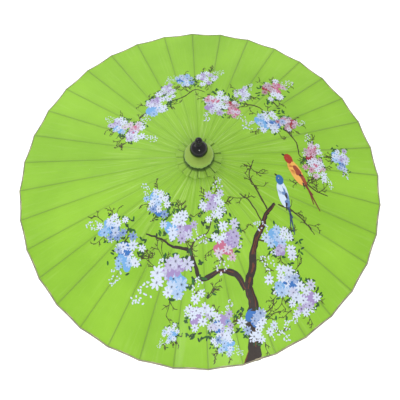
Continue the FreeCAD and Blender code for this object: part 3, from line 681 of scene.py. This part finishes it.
for vertex in bm.verts:
    column = round((vertex.co.x + 1) / 2 * PLEATS * PLEAT_STEPS)
    share = (vertex.co.y + 1) / 2
    pleat = min(column // PLEAT_STEPS, PLEATS - 1)
    step = column - pleat * PLEAT_STEPS
    inner, outer, lift = pleat_fold[step]
    lap = inner + (outer - inner) * share
    turn = pleat_start[pleat] + (pleat_start[pleat + 1] - pleat_start[pleat]) * lap
    bow = 1 + 0.02 * math.sin(math.pi * min(1.0, lap))
    blend = max(0.0, lap - 0.85) / 0.3 if lap > 0.85 else 0.0
    rim = pleat_reach[pleat] * (1 - blend * 0.5) + pleat_reach[(pleat + 1) % PLEATS] * blend * 0.5
    reach = SKIRT_NECK + (rim * bow - SKIRT_NECK) * share
    fall = SKIRT_TOP - SKIRT_FALL * share ** 0.75
    ripple = 0.0003 * math.sin(turn * 41) * share * (1 - share)
    # Painted shade: marks the cloth under the crown's edge and the lapped-under steps of each pleat to be
    # painted dark.
    crown_shade = max(0.0, min(0.9, (0.0345 - reach) / 0.004))
    vertex[skirt_shade] = 1.0 if step in SHADED_TUCK else crown_shade
    height = fall + PLEAT_LIFT * lift * (0.35 + 0.65 * share) + ripple
    vertex.co = (-reach * math.cos(turn), reach * math.sin(turn), height)
bmesh.ops.remove_doubles(bm, verts=bm.verts, dist=CLOSE)
skirt_dye = cloth("skirt_cloth", (0.22, 0.44, 0.025), (0.29, 0.53, 0.035), with_painted_shade=True)
skirt = keep_rest(finished("skirt_cloth", bm, skirt_dye))
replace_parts(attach(skirt, "pole"), "cap_skirt")


# ---- Crown and its binding -----------------------------------------------------------------
# A dome of green cloth drawn in over wadding and tied off with a few turns of cotton under it.
# The gathers run up from the tie and fade over the top; the lower edge is painted paler as a painted
# highlight.
def spun(bm, verts, edges, steps):
    """Turns these edges once round the pole's axis."""
    bmesh.ops.spin(bm, geom=[*verts, *edges], cent=(0, 0, 0), axis=(0, 0, 1), angle=2 * math.pi, steps=steps,
                   use_merge=True)


def turned(name, bm, material):
    """The spun piece, closed where its seams and poles meet, fixed on the pole."""
    bmesh.ops.remove_doubles(bm, verts=bm.verts, dist=CLOSE)
    bmesh.ops.recalc_face_normals(bm, faces=bm.faces)
    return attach(finished(name, bm, material), "pole")


def lathe(name, outline, material, steps):
    """A piece turned round the pole's axis from its outline, (radius, height) pairs."""
    bm = bmesh.new()
    line = [bm.verts.new((radius, 0, height)) for radius, height in outline]
    spun(bm, line, [bm.edges.new(pair) for pair in zip(line, line[1:])], steps)
    return turned(name, bm, material)


def rounded(centre, height, radius, start, end, steps):
    """Points of an arc in an outline, by angle in degrees from the horizontal."""
    angles = [math.radians(start + (end - start) * k / steps) for k in range(steps + 1)]
    return [(centre + radius * math.cos(angle), height + radius * math.sin(angle)) for angle in angles]


crown_cloth, tree, shader = surface("crown_cloth", roughness=0.6, sheen_weight=0.3)
spot = add(tree, "TexCoord", output=3)
high = add(tree, "SeparateXYZ", {0: spot}, output=2)
# Painted highlight: paler green towards the dome's lower edge, darker olive towards the top.
rim_highlight_falloff = mapped(tree, high, 0.0, 1.0, 0.5415, 0.5555)
tone = add(tree, "TexNoise", {"Vector": spot, "Scale": 60.0, "Detail": 5.0})
mixed = add(tree, "Math", {0: tone, 1: 0.5, 2: rim_highlight_falloff}, operation="MULTIPLY_ADD")
weave = add(tree, "TexNoise", {"Vector": spot, "Scale": 700.0, "Detail": 2.0})
greens_and_rim_highlight = ramp(tree, mixed, (0.25, (0.42, 0.62, 0.18)), (0.45, (0.22, 0.43, 0.04)), (0.95, (0.24, 0.38, 0.04)))
wire(tree, shader, greens_and_rim_highlight, None, weave, 0.0003, 0.4)
puffed = [(0.0145, 0.5398), *rounded(0.0230, 0.5458, 0.0072, -95, 62, 14), (0.0230, 0.5532), (0.0200, 0.5544),
          (0.0160, 0.5555), (0.0100, 0.5562)]
dome = lathe("crown_cloth", puffed, crown_cloth, 144)
for vertex in dome.data.vertices:
    turn = math.atan2(vertex.co.y, vertex.co.x)
    low = max(0.0, min(1.0, (0.5535 - vertex.co.z) / 0.012))
    gather = 0.0005 * math.sin(turn * 22 + 1.4 * math.sin(turn * 3)) + 0.0004 * math.sin(turn * 9 + 2)
    vertex.co += Vector((math.cos(turn), math.sin(turn), 0.25)) * gather * low
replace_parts(dome, "cap_crown")

THREAD = 0.00045


def twisted(name, low, high):
    """Twisted thread: its lay shows as fine slanting bands between two colours."""
    made, tree, shader = surface(name, roughness=0.8, sheen_weight=0.2)
    lay = add(tree, "TexWave", {"Vector": add(tree, "TexCoord", output=3), "Scale": 420.0, "Distortion": 1.5},
              output=1, bands_direction="DIAGONAL")
    wire(tree, shader, ramp(tree, lay, (0.2, low), (0.8, high)), None, lay, 0.0002, 0.6)
    return made


bm = bmesh.new()
for winding in range(4):
    around = 0.0158 + 0.0004 * (winding % 2)
    ring = bmesh.ops.create_circle(bm, segments=10, radius=THREAD)["verts"]
    bmesh.ops.rotate(bm, matrix=Matrix.Rotation(math.radians(90), 3, "X"), verts=ring)
    bmesh.ops.translate(bm, vec=(around, 0, 0.5366 + 0.0008 * winding), verts=ring)
    spun(bm, ring, list({edge for vertex in ring for edge in vertex.link_edges}), 72)
binding = turned("binding_thread", bm, twisted("green_thread", (0.05, 0.09, 0.012), (0.10, 0.17, 0.02)))
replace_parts(binding, "cap_binding")


# ---- Finial ---------------------------------------------------------------------------------
# A ball with a small knob on a neck, each turned from close-grained wood and lacquered in
# several coats of gloss black. The ball's collar presses the crown down on the hub.
lacquer, tree, shader = surface("black_lacquer", roughness=0.08, specular_ior_level=0.30)
spot = add(tree, "TexCoord", output=3)
dust = add(tree, "TexNoise", {"Vector": spot, "Scale": 160.0, "Detail": 4.0})
turned_marks = add(tree, "TexWave", {"Vector": spot, "Scale": 190.0}, output=1, bands_direction="Z")
black = ramp(tree, dust, (0.3, (0.003, 0.003, 0.004)), (0.75, (0.008, 0.007, 0.007)))
wire(tree, shader, black, mapped(tree, dust, 0.04, 0.10), turned_marks, 0.00005, 0.25)
BALL_RADIUS = 0.0185
BALL_HEIGHT = 0.5740
KNOB_RADIUS = 0.0079
KNOB_HEIGHT = 0.6095
outline = [(0.0052, 0.5564), (0.0102, 0.5564), (0.0108, 0.5570), (0.0106, 0.5578), (0.0101, 0.5584),
           *rounded(0, BALL_HEIGHT, BALL_RADIUS, -56, -4, 14), (0.01862, 0.5733), (0.01862, 0.5747),
           *rounded(0, BALL_HEIGHT, BALL_RADIUS, 4, 71, 16), (0.0052, 0.5915)]
ball = lathe("lacquered_ball", outline, lacquer, 96)
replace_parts(ball, "finial_ball")
outline = [(0.0, 0.5916), (0.0058, 0.5916), (0.0062, 0.5922), (0.0060, 0.5930), (0.0044, 0.5937),
           (0.0034, 0.5952), (0.0032, 0.5980), (0.0035, 0.6005), (0.0042, 0.6023),
           *rounded(0, KNOB_HEIGHT, KNOB_RADIUS, -62, 90, 20)]
knob = lathe("lacquered_knob", outline, lacquer, 64)
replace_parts(knob, "finial_knob")


# ---- Ribs and struts ------------------------------------------------------------------------
# Thirty-six ribs split from one bamboo stem, and as many shorter struts, planed but not
# varnished. Threads through the hub, the runner and the ribs are their hinges.
def dress(names, material):
    """Gives this material to pieces that keep the frame's own shape."""
    for name in names:
        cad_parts[name].data.materials.clear()
        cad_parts[name].data.materials.append(material)


split_bamboo, tree, shader = surface("split_bamboo", roughness=0.55)
spot = add(tree, "TexCoord", output=3)
angle, reach, high = round_the_pole(tree, spot)
along = add(tree, "CombineXYZ", {"X": times(tree, angle, 90.0), "Y": times(tree, reach, 14.0),
                                 "Z": times(tree, high, 160.0)})
fibres = add(tree, "TexNoise", {"Vector": along, "Scale": 3.0, "Detail": 5.0, "Roughness": 0.6})
patches = times(tree, add(tree, "TexNoise", {"Vector": spot, "Scale": 24.0, "Detail": 2.0}), 0.4)
tone = add(tree, "Math", {0: fibres, 1: 0.6, 2: patches}, operation="MULTIPLY_ADD")
browns = ramp(tree, tone, (0.3, (0.30, 0.19, 0.08)), (0.5, (0.52, 0.37, 0.18)), (0.7, (0.68, 0.53, 0.30)))
wire(tree, shader, browns, mapped(tree, fibres, 0.45, 0.7), fibres, 0.0003, 0.5)
dress([f"rib_{index + 1:02d}" for index in range(RIBS)], split_bamboo)

PIVOT_REACH = 0.017
PIVOT_HEIGHT = 0.390
JOINT_REACH = 0.19479
JOINT_HEIGHT = 0.46155
STRUT_PAST = 0.0019
STRUT_THIN = 0.0014
STRUT_WIDE = 0.0024
STRUT_DEPTH = 0.0038
STRUT_ROUNDED = 0.0022
strut_length = math.hypot(JOINT_REACH - PIVOT_REACH, JOINT_HEIGHT - PIVOT_HEIGHT)
strut_slope = math.atan2(JOINT_HEIGHT - PIVOT_HEIGHT, JOINT_REACH - PIVOT_REACH)
for index in range(RIBS):
    bm = bmesh.new()
    bmesh.ops.create_cube(bm, size=1.0)
    lengthwise = [edge for edge in bm.edges if abs(edge.verts[0].co.x - edge.verts[1].co.x) > 0.5]
    bmesh.ops.subdivide_edges(bm, edges=lengthwise, cuts=11)
    for vertex in bm.verts:
        share = vertex.co.x + 0.5
        inside = min(share, 1 - share) * strut_length
        width = STRUT_THIN + (STRUT_WIDE - STRUT_THIN) * max(0.0, min(1.0, (inside - 0.010) / 0.012))
        depth = STRUT_DEPTH if inside > 0.001 else STRUT_ROUNDED
        station = -STRUT_PAST + (strut_length + 2 * STRUT_PAST) * share
        vertex.co = (station, vertex.co.y * width, vertex.co.z * depth)
    bmesh.ops.rotate(bm, matrix=Matrix.Rotation(-strut_slope, 3, "Y"), verts=bm.verts)
    bmesh.ops.translate(bm, vec=(PIVOT_REACH, 0, PIVOT_HEIGHT), verts=bm.verts)
    bmesh.ops.transform(bm, matrix=about(index), verts=bm.verts)
    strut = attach(finished(f"strut_{index + 1:02d}", bm, split_bamboo, smooth=False), "runner")
    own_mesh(strut)
    if index == 0:
        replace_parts(strut, "struts")


# ---- Joint thread and rim cord ----------------------------------------------------------------
# One waxed cotton thread runs through all the ribs where the struts are hinged, and a second
# one under the edge of the cover keeps the rib tips evenly apart.
cotton = twisted("cotton_thread", (0.46, 0.38, 0.22), (0.66, 0.58, 0.40))


def thread_ring(name, reach, height, node):
    """A ring of thread, in one length for each rib that it runs through."""
    for index in range(RIBS):
        bm = bmesh.new()
        bmesh.ops.create_cone(bm, cap_ends=False, segments=8, radius1=THREAD, radius2=THREAD,
                              depth=2 * reach * math.tan(HALF))
        bmesh.ops.rotate(bm, matrix=Matrix.Rotation(math.radians(90), 3, "X"), verts=bm.verts)
        bmesh.ops.translate(bm, vec=(reach, 0, height), verts=bm.verts)
        bmesh.ops.transform(bm, matrix=about(index), verts=bm.verts)
        length = follow(finished(f"{name}_{index + 1:02d}", bm, cotton), index)
        if index == 0:
            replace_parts(length, node)


thread_ring("joint_thread_length", JOINT_REACH, JOINT_HEIGHT, "joint_thread")
thread_ring("rim_cord_length", 0.40876, 0.38875, "rim_cord")
dress(["hub_thread", "runner_thread"], cotton)


# ---- Pole ---------------------------------------------------------------------------------------
# A straight bamboo cane with its joints planed off, varnished to a satin shine. The joints show
# as thin darker rings, and the spring catch lies in a slot sawn through it.
cane, tree, shader = surface("bamboo_cane", roughness=0.35, coat_weight=0.4, coat_roughness=0.2)
spot = add(tree, "TexCoord", output=3)
grain = add(tree, "TexNoise", {"Vector": stretched(tree, spot, (400, 400, 9)), "Scale": 1.0, "Detail": 5.0})
high = add(tree, "SeparateXYZ", {0: spot}, output=2)
above = add(tree, "Math", {0: high, 1: 0.121}, operation="ADD")
within = add(tree, "Math", {0: above, 1: 0.168}, operation="PINGPONG")
joint_ring = mapped(tree, within, 0.45, 0.0, 0.0004, 0.0022)
tone = add(tree, "Math", {0: grain, 1: joint_ring}, operation="SUBTRACT")
browns = ramp(tree, tone, (0.15, (0.13, 0.07, 0.03)), (0.42, (0.46, 0.29, 0.12)), (0.7, (0.62, 0.44, 0.20)))
wire(tree, shader, browns, mapped(tree, grain, 0.28, 0.45), tone, 0.0003, 0.4)
dress(["pole"], cane)


# ---- Hub and runner -------------------------------------------------------------------------------
# Two pieces turned from pale softwood and sawn with 36 slots, one for each rib or strut. The
# hub is pinned to the pole; the runner slides on it.
softwood, tree, shader = surface("turned_softwood", roughness=0.55)
spot = add(tree, "TexCoord", output=3)
grain = add(tree, "TexNoise", {"Vector": stretched(tree, spot, (70, 260, 22)), "Scale": 1.0, "Detail": 6.0,
                               "Distortion": 0.6})
tool = add(tree, "TexWave", {"Vector": spot, "Scale": 260.0}, output=1, bands_direction="Z")
relief = add(tree, "Math", {0: tool, 1: 0.3, 2: grain}, operation="MULTIPLY_ADD")
browns = ramp(tree, grain, (0.3, (0.34, 0.20, 0.09)), (0.5, (0.52, 0.34, 0.17)), (0.72, (0.66, 0.48, 0.27)))
wire(tree, shader, browns, mapped(tree, grain, 0.45, 0.65), relief, 0.0003, 0.4)
dress(["top_hub", "runner"], softwood)


# ---- Spring catch ----------------------------------------------------------------------------------
# A lever cut from spring steel on a steel pin, pushed out of the pole's slot by a leaf spring.
# It holds the open runner up until it is pressed in.
steel, tree, shader = surface("spring_steel", metallic=1.0, roughness=0.3)
spot = add(tree, "TexCoord", output=3)
rolled = stretched(tree, spot, (900, 900, 60))
brushed = add(tree, "TexNoise", {"Vector": rolled, "Scale": 1.0, "Detail": 3.0})
greys = ramp(tree, brushed, (0.3, (0.34, 0.34, 0.33)), (0.7, (0.52, 0.52, 0.50)))
wire(tree, shader, greys, mapped(tree, brushed, 0.25, 0.45), brushed, 0.0001, 0.3)
dress(["catch_lever", "catch_pin", "catch_spring"], steel)


# ---- Grip --------------------------------------------------------------------------------------------
# A slim grip turned from dark wood with a few grooves, glued on the end of the pole between a
# black lacquered ring and a black lacquered end cap, on which the parasol stands.
dark_wood, tree, shader = surface("handle_wood", roughness=0.35, coat_weight=0.5, coat_roughness=0.15)
spot = add(tree, "TexCoord", output=3)
grain = add(tree, "TexNoise", {"Vector": stretched(tree, spot, (160, 160, 12)), "Scale": 1.0, "Detail": 6.0,
                               "Distortion": 0.8})
browns = ramp(tree, grain, (0.3, (0.06, 0.025, 0.012)), (0.5, (0.15, 0.065, 0.03)),
              (0.72, (0.24, 0.12, 0.055)))
wire(tree, shader, browns, mapped(tree, grain, 0.25, 0.42), grain, 0.0002, 0.3)
GRIP_RADIUS = 0.0125
GROOVE_BOTTOM = 0.01215
grooves = []
for height in (0.0225, 0.0255, 0.0725, 0.0755):
    grooves += [(GRIP_RADIUS, height - 0.0007), (GROOVE_BOTTOM, height - 0.0004),
                (GROOVE_BOTTOM, height + 0.0004), (GRIP_RADIUS, height + 0.0007)]
outline = [(0.0083, 0.006), (0.0104, 0.006), (0.0108, 0.0075), (0.0114, 0.011), (0.0120, 0.0155),
           (0.0124, 0.019), *grooves, (GRIP_RADIUS, 0.078), (0.0122, 0.082), (0.0116, 0.087),
           (0.0108, 0.0915), (0.0101, 0.0945), (0.0096, 0.0950), (0.0083, 0.0950)]
handle = lathe("turned_grip", outline, dark_wood, 72)
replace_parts(handle, "grip")
dress(["grip_ring", "end_cap"], lacquer)
